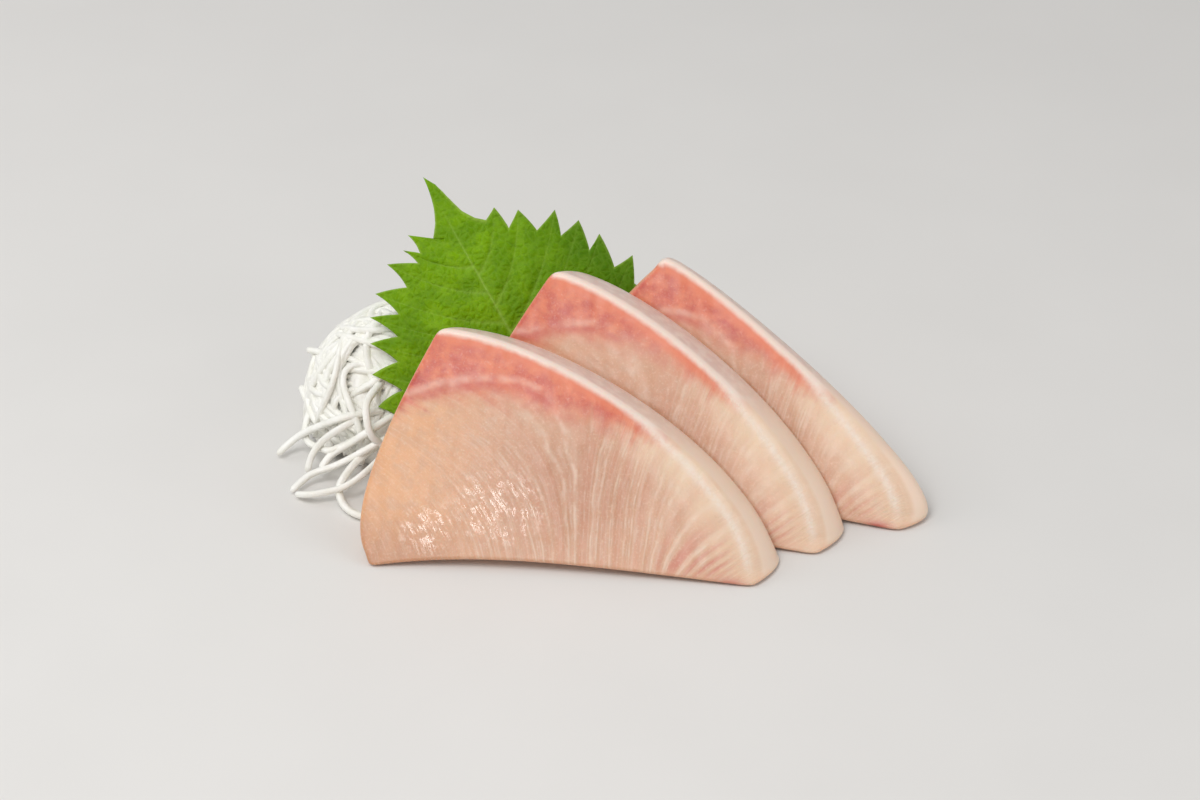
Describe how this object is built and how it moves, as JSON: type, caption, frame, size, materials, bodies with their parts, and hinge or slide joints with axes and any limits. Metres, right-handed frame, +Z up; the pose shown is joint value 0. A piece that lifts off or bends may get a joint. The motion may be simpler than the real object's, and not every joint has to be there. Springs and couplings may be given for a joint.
{
  "type": "sashimi serving",
  "caption": "Serving of sliced raw yellowtail leaning back in a fan, with a toothed green shiso leaf behind it and a heap of shredded white daikon, with no plate.",
  "frame": {"origin": "middle of the serving's footprint, on the surface it stands on", "axes": "+Z up, -Y towards the cut face of the front slice, +X towards the slices' tips"},
  "size_m": [0.1431, 0.083, 0.0554],
  "materials": {
    "fish": "moist translucent raw fish flesh, pale pink to peach, with a red band under a white fat line",
    "leaf": "soft matt green leaf with paler veins",
    "daikon": "wet translucent white shredded radish"
  },
  "bodies": {
    "root": {"slice_front": "fish", "slice_middle": "fish", "slice_back": "fish", "shiso_leaf": "leaf", "daikon_heap": "daikon"}
  },
  "joints": []
}
